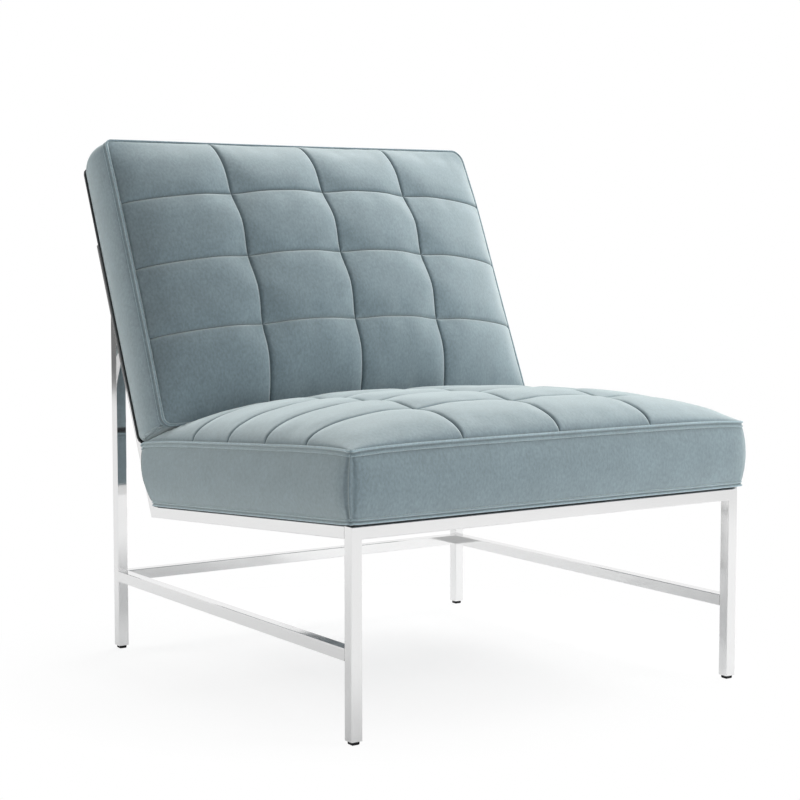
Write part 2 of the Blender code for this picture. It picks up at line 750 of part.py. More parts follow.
def bolt_hole(name, length, parent, matrix):
    """Clearance hole for one bolt, blind just past its tip."""
    bm = bmesh.new()
    radius = BOLT_RADIUS + GAP
    depth = length + GAP + OVERRUN
    bmesh.ops.create_cone(bm, cap_ends=True, segments=BOLT_STEPS, radius1=radius,
                          radius2=radius, depth=depth)
    bmesh.ops.translate(bm, vec=(0, 0, depth / 2 - OVERRUN), verts=bm.verts)
    return new_cutter(f"{name}_hole", to_mesh(bm, f"{name}_hole"), parent, matrix)


def bolt_on(prefix, pad, parent, seat_height, reaches, rails):
    """Bolts through the tubes into the wood rails; rails maps a side to what each bolt crosses."""
    length = pad.foot - seat_height + BOLT_BITE
    mesh = bolt_mesh(length)
    for side, sign in SIDES.items():
        for number, reach in enumerate(reaches, 1):
            name = f"{prefix}_bolt_{side}_{number}"
            matrix = Matrix.Translation((sign * TUBE_LINE, reach, seat_height - GAP))
            new_object(name, mesh, BOLT_STEEL, parent, matrix)
            hole = bolt_hole(name, length, parent, matrix)
            for part in rails[side]:
                cut(part, hole)


def centre_on_origin():
    """Move the chair so that its box stands on the origin."""
    bpy.context.view_layer.update()
    graph = bpy.context.evaluated_depsgraph_get()
    depths = []
    for part in CHAIR.objects:
        if part.type == "MESH":
            shape = part.evaluated_get(graph)
            depths += [(shape.matrix_world @ vert.co).y for vert in shape.data.vertices]
    CENTRE.location.y -= (min(depths) + max(depths)) / 2
    bpy.context.view_layer.update()


def build_pad(prefix, pad, parent, ends, web_count, board_set_in):
    new_object(f"{prefix}_cover", pad.cover(f"{prefix}_cover"), VELVET, parent)
    new_object(f"{prefix}_foam", pad.foam(f"{prefix}_foam"), FOAM, parent)
    board = plate(f"{prefix}_base_board", pad, pad.board_foot, pad.board, board_set_in, BOARD,
                  parent)
    rails, half, low, high = wood_frame(prefix, pad, parent, ends)
    webbing(prefix, pad, parent, half, low, high, web_count)
    return board, rails


def build_chair():
    front_frame()
    side_frames()
    cross_rails()
    rear_legs()
    stretchers()
    glides()
    tubes = {part.name: part for part in CHAIR.objects}
    seat_board, seat_wood = build_pad("seat", SEAT_PAD, SEAT, ("front", "rear"), SEAT_WEB_COUNT,
                                      SEAT_BOARD_SET_IN)
    back_board, back_wood = build_pad("back", BACK_PAD, BACK, ("bottom", "top"), BACK_WEB_COUNT,
                                      -BACK_BOARD_OVERHANG)
    panel = plate("back_outer_panel", BACK_PAD, TUBE + GAP, PANEL_THICKNESS, PANEL_SET_IN,
                  VELVET, BACK)
    new_object("seat_welt_top", SEAT_PAD.welt_ring("seat_welt_top", True), VELVET, SEAT)
    new_object("seat_welt_bottom", SEAT_PAD.welt_ring("seat_welt_bottom", False), VELVET, SEAT)
    new_object("back_welt_front", BACK_PAD.welt_ring("back_welt_front", True), VELVET, BACK)
    seat_stack = {side: (tubes[f"seat_rail_{side}"], seat_board, seat_wood[side])
                  for side in SIDES}
    back_stack = {side: (tubes[f"back_upright_{side}"], panel, back_board, back_wood[side])
                  for side in SIDES}
    seat_reaches = [share * KINK_REACH for share in SEAT_BOLT_SHARES]
    leg_top = LEG_JOINT_REACH - TUBE / math.sin(BACK_LEAN)
    back_reaches = [(BACK_LOW + leg_top) / 2, (LEG_JOINT_REACH + UPRIGHT_LENGTH - TUBE) / 2]
    bolt_on("seat", SEAT_PAD, SEAT, -TUBE, seat_reaches, seat_stack)
    bolt_on("back", BACK_PAD, BACK, 0.0, back_reaches, back_stack)
    centre_on_origin()


build_chair()
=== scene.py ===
"""Looks of an armless lounge chair with two biscuit-tufted velvet pads on polished square tube.

Metres, +Z up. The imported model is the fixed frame; the pads, their welts and the rear panel are
made here, in the planes that carry them.
"""
import json
import math
from dataclasses import dataclass

import bmesh
import bpy
import numpy as np
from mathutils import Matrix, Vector


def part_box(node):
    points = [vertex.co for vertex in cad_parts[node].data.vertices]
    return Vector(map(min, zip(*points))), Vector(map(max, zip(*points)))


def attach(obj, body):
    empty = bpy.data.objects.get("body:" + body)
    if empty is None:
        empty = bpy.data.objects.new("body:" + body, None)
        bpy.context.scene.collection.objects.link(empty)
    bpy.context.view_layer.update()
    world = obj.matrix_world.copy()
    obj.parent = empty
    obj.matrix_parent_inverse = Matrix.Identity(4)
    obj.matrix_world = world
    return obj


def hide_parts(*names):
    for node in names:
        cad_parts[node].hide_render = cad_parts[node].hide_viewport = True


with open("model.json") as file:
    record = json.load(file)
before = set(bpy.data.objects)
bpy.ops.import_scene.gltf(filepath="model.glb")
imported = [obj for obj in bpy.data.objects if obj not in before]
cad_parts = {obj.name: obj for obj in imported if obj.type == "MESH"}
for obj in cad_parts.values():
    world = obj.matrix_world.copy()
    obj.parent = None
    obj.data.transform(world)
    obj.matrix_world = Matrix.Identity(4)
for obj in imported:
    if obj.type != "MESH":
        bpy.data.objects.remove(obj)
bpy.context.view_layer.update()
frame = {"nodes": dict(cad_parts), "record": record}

# Photograph's camera
CAMERA_PLACE = (-1.55955, -2.32774, 0.63715)
CAMERA_PITCH = -0.08095
CAMERA_ROLL = -0.00014
CAMERA_YAW = -0.59331
CAMERA_SENSOR = 36.0
CAMERA_LENS = 83.821
CAMERA_SHIFT = (-0.00769, -0.01204)

# Planes that carry the pads
TUBE = 0.0166
SEAT_SLOPE = math.radians(4.25)
BACK_LEAN = math.radians(24.15)
KINK_REACH = 0.54613

# Ends and sides of the pads, and the room of the back pad on the seat
SEAT_SIDE_OVERHANG = 0.0032
SEAT_FRONT_OVERHANG = 0.0045
SEAT_REAR_SET_OFF = 0.0052
BACK_SIDE_OVERHANG = 0.0045
BACK_LOW = 0.1085
BACK_HIGH = 0.5688
BACK_FLARE = 0.003
BACK_WELT_HEIGHT = 0.112
PRESS_EASE = 0.070
PRESS_ROOM = 0.0039

# What both pads share
DRAW_IN = 0.002
SWELL = 0.0085
COLUMN_SHARES = (-0.4795, 0.0, 0.4795)
EDGE_POWER = 6
SIDE_POWER = 8
TAPER_POWER = 4
TAPER_REACH = 0.075
VALLEY_REACH = 0.013
TUFT_RADIUS = 0.034
COVER_THICKNESS = 0.0018

# Foam block: how far it stays inside the cover, its points across and along, and its levels
FOAM_INSET = 0.006
FOAM_COUNTS = (45, 37)
FOAM_LEVELS = (0.25, 1.0, 5)

# Stitched seam: a narrow groove between two rolled shoulders, with shade painted along it
GROOVE_REACH = 0.0013
SHOULDER_HEIGHT = 0.0005
SHOULDER_REACH = 0.0050
# Painted shade: how far it reaches from a seam, and the strength of the light and shade painted on the
# cover
CREASE_REACH = 0.0010
CREASE_SHADE = 0.625

# Vertical seam of the boxing: a ridge between two grooves, at a corner that swells less
RIDGE_HEIGHT = 0.0016
RIDGE_REACH = 0.0007
RIDGE_GROOVE = 0.0014
RIDGE_GROOVE_PLACE = 0.0022
RIDGE_GROOVE_REACH = 0.0017
RIDGE_END_POWER = 0.2
# Strength of the light and shade painted round it, the highlight painted on the ridge, and the right
# corner's share of both relief and painted light
CORNER_RIDGE_PAINTED_LIGHT = 0.75
CORNER_RIDGE_PAINTED_HIGHLIGHT = 1.1
RIDGE_RIGHT = 0.4
CORNER_HOLD = 0.28
CORNER_HOLD_REACH = 0.012

# Strength and spread of the shade painted beside the vertical seam, on the side and on the front
SIDE_SHADE = (1.0, 2.0)
FRONT_SHADE = (0.7, 0.6)

# Grid lines: the spacing of plain fabric, and the finer steps beside seams and edges
FABRIC_STEP = 0.0055
SEAM_STEPS = (0.0004, 0.0009, 0.0016, 0.0026, 0.0040, 0.0062)
EDGE_STEPS = (0.0006, 0.0013, 0.002, 0.003, 0.0042, 0.0056, 0.0075, 0.0097, 0.012)
BOXING_STEP = 0.0045
BOXING_EDGE_STEPS = (0.0006, 0.0013, 0.002)
FLANGE_STEPS = (0.0005, 0.0011, 0.0018, 0.0028)

# Cloth simulation of the stuffed covers
CLOTH_STEP = 0.0068
CLOTH_LEVELS = 13
CLOTH_FRAMES = 20
CLOTH_SETTINGS = {"quality": 5, "mass": 0.3, "tension_stiffness": 15, "compression_stiffness": 15,
                  "shear_stiffness": 5, "bending_stiffness": 2, "shrink_min": -0.012,
                  "use_pressure": True, "uniform_pressure_force": 4.0}
SEWN_REACH = 0.0017
PRESSED_SHARE = 0.4
PUFF_CAP = 0.0028
PUFF_SMOOTHING = 3
BOXING_CAP = 0.0015
BOXING_SMOOTHING = 40

# Flanged welt: its cord, the flange's edge and the crease below it
FLANGE_CREASE = 0.0013
FLANGE_GROOVE = 0.0009
FLANGE_STAND = 0.0003
FLANGE_RIDGE = 0.0013
FLANGE_EDGE_POINTS = 4
FOOT_FLANGE = 0.0048
FOOT_DROP = 0.0005
CORD_RADIUS = 0.0015
CORD_REACH = 0.0007
CORD_STAND = 0.0014
CORD_END = 0.12 * math.pi
WELT_START = -0.0012
WELT_LIFT = 0.0004
WELT_POINTS = 10
WELT_LEVELS = 3
WELT_CALM = 6

# Shade and highlights painted on the pile by the welts: shade in the crease below a flange and in the
# groove, highlights on the cord and ridge
FLANGE_PAINTED_SHADE = 0.6
CORD_PAINTED_HIGHLIGHT = 1.0
GROOVE_SHADE = 0.6
GROOVE_SHADE_POINTS = 1.5
FLANGE_RIDGE_PAINTED_HIGHLIGHT = 0.45

# Velvet panel behind the back pad, with a hem stitched round it
PANEL_ROOM = 0.0003
PANEL_THICKNESS = 0.0015
PANEL_DEEPEST = 0.9 * PANEL_THICKNESS
PANEL_SET_IN = 0.008
PANEL_STEP = 0.008
PANEL_EDGE_STEPS = (0.0004, 0.0008, 0.0015, 0.003, 0.004, 0.005, 0.006, 0.007, 0.008, 0.010, 0.014)
PANEL_PUFF = 0.005
PANEL_PUFF_REACH = 0.030
HEM_DEPTH = 0.0007
HEM_PLACE = 0.0060
HEM_REACH = 0.0012

# Welds of the frame, and the seat bolts' heads
WELD = 0.0003
WELD_LEAST_REACH = 0.010
WELD_LOWEST = 0.03
END_TURN = 0.5
MITRE_TURN = 0.88
HEAD_ROOM = 0.0004
SEAT_BOLTS = ("seat_bolt_left_1", "seat_bolt_left_2", "seat_bolt_right_1", "seat_bolt_right_2")

# Colours
VELVET_COLOUR = (0.154, 0.212, 0.242)
VELVET_BLOOM = (0.901, 1.0, 0.998)
STEEL_COLOUR = (0.80, 0.80, 0.80)
ZINC_COLOUR = (0.45, 0.45, 0.46)
PLASTIC_COLOUR = (0.008, 0.008, 0.009)
BOARD_COLOUR = (0.024, 0.027, 0.029)
WOOD_COLOUR = (0.50, 0.33, 0.18)
WEBBING_COLOUR = (0.10, 0.09, 0.08)
FOAM_COLOUR = (0.80, 0.74, 0.55)
FLOOR_COLOUR = (0.8, 0.8, 0.8)
WHITE = (1.0, 1.0, 1.0)

# Tones of the light and shade painted on the pile, from a highlight on a ridge to shade in a crease, and
# of the board's lining on the faces turned down
PAINTED_LIGHT_TONES = (1.80, 0.20)
LINING_TONE = 11.0
LINING_TURN = (-0.9, -0.8)

# Part of a noise that is spread over a material's range
NOISE_MIDDLE = (0.3, 0.7)
PILE_MIDDLE = (0.25, 0.75)

# Lamps: azimuth to the right of the chair's front, height in degrees, and watts
LAMPS = (("low_front_left", -34.0, 8.0, 17.1), ("low_front_right", 40.0, 8.0, 55.8),
         ("high_front_right", 40.0, 70.0, 17.0), ("side_right", 90.0, 48.0, 40.0),
         ("rear_right", 130.0, 48.0, 38.3), ("high_rear", 160.0, 70.0, 14.4),
         ("low_rear_left", 230.0, 8.0, 38.2))
LAMP_TARGET = (0.0, 0.0, 0.45)
LAMP_DISTANCE = 3.0
LAMP_SIZE = 1.6

# World, with its grey horizon in polished steel
WORLD_FILL = 0.015
HORIZON_SHADE = 0.20
HORIZON = -0.02
HORIZON_REACH = (0.05, 0.15)

# Floor: each pair's first value is seen by the camera and its second in reflections
FLOOR_SIZE = 9.6
FLOOR_SHADE = (0.28, 0.58)
FLOOR_GLOW = (0.76, 0.39)
FLOOR_FAR = (1.0, 0.95)
FLOOR_FADE = ((0.12, 0.60), (0.7, 2.4))
SHADOW_MIDDLE = (-0.05, 0.04, 0.0)


def smooth_step(share):
    share = np.clip(share, 0.0, 1.0)
    return share * share * (3 - 2 * share)


def bell(distance, reach):
    return np.exp(-(distance / reach) ** 2)


def node_points(name):
    """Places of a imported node's points."""
    node = frame["nodes"][name]
    return np.array([node.matrix_world @ vertex.co for vertex in node.data.vertices])


# Planes

class Plane:
    """A pad's plane: x across the chair, y along the pad and n out of the plane."""

    def __init__(self, origin, lean):
        self.origin = np.array(origin)
        self.axes = np.array([(1.0, 0.0, 0.0),
                              (0.0, math.cos(lean), math.sin(lean)),
                              (0.0, -math.sin(lean), math.cos(lean))])

    def place(self, points):
        return self.origin + np.asarray(points) @ self.axes

    def local(self, points):
        return (np.asarray(points) - self.origin) @ self.axes.T


SEAT_PLANE = Plane((0.0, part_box("front_leg_left")[1].y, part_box("seat_rail_front")[1].z), -SEAT_SLOPE)
BACK_PLANE = Plane(SEAT_PLANE.place((0.0, KINK_REACH, -TUBE)), math.pi / 2 - BACK_LEAN)
KINK_TURN = BACK_LEAN - SEAT_SLOPE
HALF_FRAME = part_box("seat_rail_right")[1].x


# Pads

def grid_lines(start, stop, seams, step, seam_steps, edge_steps):
    """Lines across a pad: fine beside its edges and seams, and evenly spaced between them."""
    marks = {start, stop}
    marks.update(start + offset for offset in edge_steps)
    marks.update(stop - offset for offset in edge_steps)
    for seam in seams:
        marks.update((seam, *(seam + offset for offset in seam_steps),
                      *(seam - offset for offset in seam_steps)))
    marks = sorted(marks)
    lines = [marks[0]]
    for left, right in zip(marks, marks[1:]):
        count = max(1, round((right - left) / step))
        lines += [left + (right - left) * i / count for i in range(1, count + 1)]
    return np.array(lines)


def cubic(values, lines, targets, axis):
    """Smooth interpolation of values, known at lines, at the targets along one axis."""
    place = np.interp(targets, lines, np.arange(len(lines)))
    first = np.clip(np.floor(place).astype(int), 0, len(lines) - 2)
    share = place - first
    weights = (share * (-0.5 + share * (1.0 - 0.5 * share)),
               1.0 + share * share * (-2.5 + 1.5 * share),
               share * (0.5 + share * (2.0 - 1.5 * share)),
               share * share * (-0.5 + 0.5 * share))
    total = 0.0
    for offset, weight in zip((-1, 0, 1, 2), weights):
        index = np.clip(first + offset, 0, len(lines) - 1)
        shape = [1] * values.ndim
        shape[axis] = -1
        total = total + np.take(values, index, axis) * weight.reshape(shape)
    return total


@dataclass
class Pad:
    """A boxed cushion with a crowned top, in its own plane.

    low and high give its ends as functions of height, and ceiling the share of the top that the
    other pad presses down and the height that it leaves.
    """
    name: str
    plane: Plane
    half: float
    corners: tuple
    low: object
    high: object
    foot: float
    welt: float
    rise: float
    crown: float
    peak: float
    powers: tuple
    fullness: tuple
    valley: float
    tuft: float
    groove: float
    row_shares: tuple
    swells: tuple
    corner_seams: bool
    flange: float
    bow: float
    taper: float = 0.0
    ceiling: object = None

    def __post_init__(self):
        self.start = self.low(self.welt)
        self.stop = self.high(self.welt)
        self.seam_columns = [share * self.half for share in COLUMN_SHARES]
        self.seam_rows = [self.start + share * (self.stop - self.start) for share in self.row_shares]

    def edge_shares(self, x, y):
        across = np.minimum(np.abs(x) / self.half, 1.0)
        along = np.minimum(np.abs(2 * y - self.start - self.stop) / (self.stop - self.start), 1.0)
        return across, along

    def seam_distances(self, x, y):
        to_column = np.min([np.abs(x - seam) for seam in self.seam_columns], axis=0)
        to_row = np.min([np.abs(y - seam) for seam in self.seam_rows], axis=0)
        return to_column, to_row

    def top(self, x, y, fine):
        """Height of the top: its crown, the tufted valleys and, if fine, the stitched grooves."""
        across, along = self.edge_shares(x, y)
        share = (y - self.start) / (self.stop - self.start)
        from_peak = np.where(share > self.peak, (share - self.peak) / (1 - self.peak),
                             (self.peak - share) / self.peak)
        from_peak = np.clip(from_peak, 0.0, 1.0)
        end_fullness = np.where(share > self.peak, self.fullness[2], self.fullness[1])
        dome = ((1 - across ** self.powers[0]) ** self.fullness[0]
                * (1 - from_peak ** self.powers[1]) ** end_fullness)
        height = self.welt + self.rise * (1 - (across * along) ** EDGE_POWER) + self.crown * dome
        to_column, to_row = self.seam_distances(x, y)
        valley = np.maximum(bell(to_column, VALLEY_REACH), bell(to_row, VALLEY_REACH))
        tuft = bell(np.hypot(to_column, to_row), TUFT_RADIUS)
        fade = (1 - across ** SIDE_POWER) * (1 - along ** SIDE_POWER)
        height = height - fade * (self.valley * valley + self.tuft * tuft)
        if self.ceiling:
            share, limit = self.ceiling(y)
            height = height + share * (np.minimum(height, limit) - height)
        if fine:
            nearest = np.minimum(to_column, to_row)
            height = height - self.groove * np.exp(-nearest / GROOVE_REACH)
            height = height + SHOULDER_HEIGHT * bell(nearest - SHOULDER_REACH, SHOULDER_REACH / 2)
        return height

    def plan(self, x, y, height, inset=0.0):
        """Place in the plane of a grid point at a height, on the pad drawn in by inset."""
        half = self.half - inset
        low = self.low(height) + inset
        high = self.high(height) - inset
        px = x * half / self.half
        py = low + (y - self.start) * (high - low) / (self.stop - self.start)
        rear = y > (self.start + self.stop) / 2
        near_left, near_right, far_right, far_left = self.corners
        radius = np.where(x > 0, np.where(rear, far_right, near_right),
                          np.where(rear, far_left, near_left)) - inset / 2
        over_x = np.clip(np.abs(px) - half + radius, 0, None) / radius
        over_y = np.clip(np.maximum(low + radius - py, py - high + radius), 0, None) / radius
        pull_x = radius * over_x * (1 - np.sqrt(1 - over_y ** 2 / 2))
        pull_y = radius * over_y * (1 - np.sqrt(1 - over_x ** 2 / 2))
        px = px - np.copysign(pull_x, px)
        py = py - np.copysign(pull_y, py - (low + high) / 2)
        return px, py

    def drawn_in(self, x, y, share):
        """How far the sides draw in between their corners, and the rows bow towards the sides."""
        across, along = self.edge_shares(x, y)
        middle = (self.start + self.stop) / 2
        shift_x = -np.sign(x) * DRAW_IN * share * (1 - along ** 2) * across ** SIDE_POWER
        taper = across ** TAPER_POWER * bell(self.stop - y, TAPER_REACH)
        shift_x = shift_x - self.taper * (x > 0) * taper
        shift_y = -np.sign(y - middle) * DRAW_IN * share * (1 - across ** 2) * along ** SIDE_POWER
        shift_y = shift_y + self.bow * share * across ** 2 * (1 - along ** 2)
        return shift_x, shift_y

    def top_points(self, xs, ys, fine, inset=0.0):
        x, y = np.meshgrid(xs, ys, indexing="ij")
        px, py = self.plan(x, y, self.welt, inset)
        shift_x, shift_y = self.drawn_in(x, y, 1.0)
        return np.stack((px + shift_x, py + shift_y, self.top(x, y, fine) - inset), axis=-1)

    def sides(self, xs, ys):
        """The four sides in order round the pad, each as its grid points' x and y."""
        return [(xs, np.full_like(xs, self.start)), (np.full_like(ys, self.half), ys),
                (xs[::-1], np.full_like(xs, self.stop)), (np.full_like(ys, -self.half), ys[::-1])]

    def side_points(self, side, levels, fine, inset=0.0):
        """Boxing of one side, as an array of its line, level and place."""
        x, y = side
        px, py = self.plan(x, y, self.welt, inset)
        run = np.stack((np.gradient(px), np.gradient(py)), axis=-1)
        run /= np.linalg.norm(run, axis=-1, keepdims=True)
        out = np.stack((run[:, 1], -run[:, 0]), axis=-1)
        out[0] = self.corner_out(x[0], y[0])
        out[-1] = self.corner_out(x[-1], y[-1])
        front, rear, beside = self.swells
        swell = beside * out[:, 0] ** 2 + np.where(out[:, 1] > 0, rear, front) * out[:, 1] ** 2
        share = np.asarray(levels)[None, :]
        edge = (self.top(x, y, False) - inset)[:, None]
        foot = self.foot + inset
        height = foot + share * (edge - foot)
        bx, by = self.plan(x[:, None], y[:, None], height, inset)
        shift_x, shift_y = self.drawn_in(x[:, None], y[:, None], share)
        stand = swell[:, None] * np.sin(np.pi * share)
        if fine:
            stand = stand - FLANGE_GROOVE * self.flange_crease(share)
        if fine and self.corner_seams:
            hold, ridge = self.ridge(px, py)
            ridge = ridge[:, None] * np.sin(np.pi * share) ** RIDGE_END_POWER
            stand = stand * (1 - hold[:, None]) + ridge
        bx = bx + shift_x + out[:, :1] * stand
        by = by + shift_y + out[:, 1:] * stand
        return np.stack((bx, by, height + 0.0 * bx), axis=-1)

    def flange_crease(self, share):
        """How near a level of the boxing is to the crease below a welt's flange."""
        span = self.welt - self.foot
        crease = np.exp(-np.abs((1 - share) * span - self.flange - FLANGE_CREASE) / FLANGE_CREASE)
        if self.corner_seams:
            reach = share * span - FOOT_FLANGE - FLANGE_CREASE
            crease = np.maximum(crease, np.exp(-np.abs(reach) / FLANGE_CREASE))
        return crease

    def corner_out(self, x, y):
        """Outward direction at a corner: diagonal, or straight across beside an end that stays flat."""
        rear = y > (self.start + self.stop) / 2
        if not self.swells[1 if rear else 0]:
            return np.array((math.copysign(1, x), 0.0))
        return np.array((math.copysign(1, x), 1.0 if rear else -1.0)) / math.sqrt(2)

    def ridge(self, px, py):
        """Vertical seam at a side's ends: how much it holds the swell, and its own relief."""
        steps = np.hypot(np.diff(px), np.diff(py))
        reach = np.concatenate(((0.0,), np.cumsum(steps)))
        near = py < (self.start + self.stop) / 2
        reach = np.where(near, np.minimum(reach, reach[-1] - reach), np.inf)
        relief = (RIDGE_HEIGHT * bell(reach, RIDGE_REACH)
                  - RIDGE_GROOVE * bell(reach - RIDGE_GROOVE_PLACE, RIDGE_GROOVE_REACH))
        relief = np.where(px > 0, RIDGE_RIGHT, 1.0) * relief
        return CORNER_HOLD * bell(reach, CORNER_HOLD_REACH), relief


def seat_front(height):
    """Front end of the seat pad, upright like the front legs."""
    return -TUBE - SEAT_FRONT_OVERHANG - height * math.tan(SEAT_SLOPE)


def seat_rear(height):
    """Rear end of the seat pad, parallel to the back and set off from the uprights."""
    set_off = TUBE + SEAT_REAR_SET_OFF
    climb = height + TUBE - set_off * math.sin(KINK_TURN)
    return KINK_REACH - set_off * math.cos(KINK_TURN) + math.tan(KINK_TURN) * climb


def back_low(height):
    return BACK_LOW + BACK_FLARE * (BACK_WELT_HEIGHT - height) / BACK_WELT_HEIGHT


def back_high(height):
    return BACK_HIGH - BACK_FLARE * (BACK_WELT_HEIGHT - height) / BACK_WELT_HEIGHT


def pressed_by_back(reach):
    """Share of the seat's top that the back pad presses, and the height that it leaves."""
    corners = BACK_PLANE.place([(0, back_low(BACK_WELT_HEIGHT), BACK_WELT_HEIGHT),
                                (0, back_low(0), 0)])
    (_, front, front_height), (_, rear, rear_height) = SEAT_PLANE.local(corners)
    slope = (front_height - rear_height) / (rear - front)
    limit = front_height + (front - reach) * slope - PRESS_ROOM
    return smooth_step((reach - front + PRESS_EASE) / PRESS_EASE), limit


SEAT = Pad("seat", SEAT_PLANE, HALF_FRAME + SEAT_SIDE_OVERHANG, low=seat_front, high=seat_rear,
           corners=(0.005, 0.005, 0.005, 0.005), foot=0.0024, welt=0.0949, rise=0.0040,
           crown=0.0602, peak=0.6, powers=(2.8, 2.85), fullness=(0.5, 0.5, 0.5),
           valley=0.002, tuft=0.0044, groove=0.0048, row_shares=(0.181, 0.361, 0.537, 0.713),
           swells=(SWELL, 0.0, SWELL), corner_seams=True, flange=0.0068, bow=0.005,
           ceiling=pressed_by_back)
BACK = Pad("back", BACK_PLANE, HALF_FRAME + BACK_SIDE_OVERHANG, low=back_low, high=back_high,
           corners=(0.013, 0.013, 0.018, 0.008), foot=0.0228, welt=BACK_WELT_HEIGHT, rise=0.002,
           crown=0.071, peak=0.45, powers=(2.0, 2.9), fullness=(0.66, 0.95, 0.68),
           valley=0.003, tuft=0.010, groove=0.0042, row_shares=(0.298, 0.542, 0.776),
           swells=(0.0, SWELL, SWELL), corner_seams=False, flange=0.0096, bow=-0.0045,
           taper=0.0055)


# Meshes

def new_piece(name, points, faces, material, smooth=True):
    mesh = bpy.data.meshes.new(name)
    mesh.from_pydata(np.asarray(points).tolist(), [], faces)
    mesh.validate()
    piece = bpy.data.objects.new(name, mesh)
    bpy.context.scene.collection.objects.link(piece)
    mesh.materials.append(material)
    if smooth:
        mesh.shade_smooth()
    return piece


def finish_piece(piece, slot, *nodes):
    """Fixes a piece to the chair and hides the nodes that it replaces; slot is not used."""
    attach(piece, "root")
    if nodes:
        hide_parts(*nodes)


def set_crease(piece, painted_light):
    """Light and shade painted on the pile at each point, from a highlight below 0 on a ridge to shade at
    1 in a crease.
    """
    layer = piece.data.attributes.new("crease", "FLOAT", "POINT")
    layer.data.foreach_set("value", np.asarray(painted_light, np.float32))


def grid_faces(index):
    """Faces of a grid of points, whose front is on its upper side."""
    faces = np.stack((index[:-1, :-1], index[1:, :-1], index[1:, 1:], index[:-1, 1:]), axis=-1)
    return faces.reshape(-1, 4)


def grid_ring(index):
    """Points round the edge of a grid, in order."""
    return np.concatenate((index[:-1, 0], index[-1, :-1], index[:0:-1, -1], index[0, :0:-1]))


def sheet(top, sides):
    """Points and faces of a top and its boxing, joined at the edge and open at the foot."""
    columns, rows = top.shape[:2]
    index = np.arange(columns * rows).reshape(columns, rows)
    ring = grid_ring(index)
    boxing = np.concatenate([side[:-1] for side in sides])
    levels = boxing.shape[1] - 1
    points = np.concatenate((top.reshape(-1, 3), boxing[:, :-1].reshape(-1, 3)))
    below = columns * rows + np.arange(len(ring) * levels).reshape(-1, levels)
    below = np.concatenate((below, ring[:, None]), axis=1)
    after = np.roll(below, -1, axis=0)
    walls = np.stack((below[:, :-1], after[:, :-1], after[:, 1:], below[:, 1:]), axis=-1)
    return points, np.concatenate((grid_faces(index), walls.reshape(-1, 4))).tolist(), below


def corners_of(xs, ys):
    """Where the pad's corners stand in the ring of its boxing."""
    return np.cumsum((0, len(xs) - 1, len(ys) - 1, len(xs) - 1))


def capped(moved, cap):
    length = np.linalg.norm(moved, axis=-1, keepdims=True)
    return moved * (cap / np.maximum(length, cap))


def calmed(moved, passes, axis=0):
    """Moves averaged with their neighbours along one axis."""
    for _ in range(passes):
        before, after = np.roll(moved, 1, axis), np.roll(moved, -1, axis)
        moved = (before + 2 * moved + after) / 4
    return moved


def simulate(pad):
    """Stuffs the cover with pressure between its sewn lines; returns how far its points move."""
    xs = grid_lines(-pad.half, pad.half, pad.seam_columns, CLOTH_STEP, (), ())
    ys = grid_lines(pad.start, pad.stop, pad.seam_rows, CLOTH_STEP, (), ())
    levels = np.linspace(0.0, 1.0, CLOTH_LEVELS)
    top = pad.top_points(xs, ys, False)
    sides = [pad.side_points(side, levels, False) for side in pad.sides(xs, ys)]
    points, faces, below = sheet(top, sides)
    piece = new_piece(f"{pad.name}_cloth", points, faces, VELVET)
    corners = corners_of(xs, ys)
    x, y = np.meshgrid(xs, ys, indexing="ij")
    sewn = np.minimum(*pad.seam_distances(x, y)) < SEWN_REACH
    held = np.zeros(len(points), bool)
    held[:sewn.size] = sewn.ravel()
    if pad.ceiling:
        held[:sewn.size] |= pad.ceiling(y)[0].ravel() > PRESSED_SHARE
    held[below[:, (0, -1)]] = True
    held[below[corners]] = True
    group = piece.vertex_groups.new(name="sewn")
    group.add(np.flatnonzero(held).tolist(), 1.0, "REPLACE")
    cloth = piece.modifiers.new("stuffed", "CLOTH")
    for name, value in CLOTH_SETTINGS.items():
        setattr(cloth.settings, name, value)
    cloth.settings.vertex_group_mass = "sewn"
    cloth.settings.effector_weights.gravity = 0.0
    cloth.collision_settings.use_collision = False
    cloth.point_cache.frame_start = 1
    cloth.point_cache.frame_end = CLOTH_FRAMES
    scene = bpy.context.scene
    for number in range(1, CLOTH_FRAMES + 1):
        scene.frame_set(number)
    shape = piece.evaluated_get(bpy.context.evaluated_depsgraph_get())
    moved = np.empty(len(points) * 3, np.float32)
    shape.data.vertices.foreach_get("co", moved)
    moved = moved.reshape(-1, 3) - points
    scene.frame_set(1)
    bpy.data.objects.remove(piece)
    top_move = capped(moved[:sewn.size].reshape(top.shape), PUFF_CAP)
    top_move = calmed(calmed(top_move, PUFF_SMOOTHING), PUFF_SMOOTHING, 1)
    top_move[sewn] = 0.0
    walls = calmed(capped(moved[below], BOXING_CAP), BOXING_SMOOTHING)
    side_moves = []
    for number, start in enumerate(corners):
        count = len(xs) if number % 2 == 0 else len(ys)
        side_moves.append(walls[(start + np.arange(count)) % len(walls)])
    return xs, ys, levels, top_move, side_moves


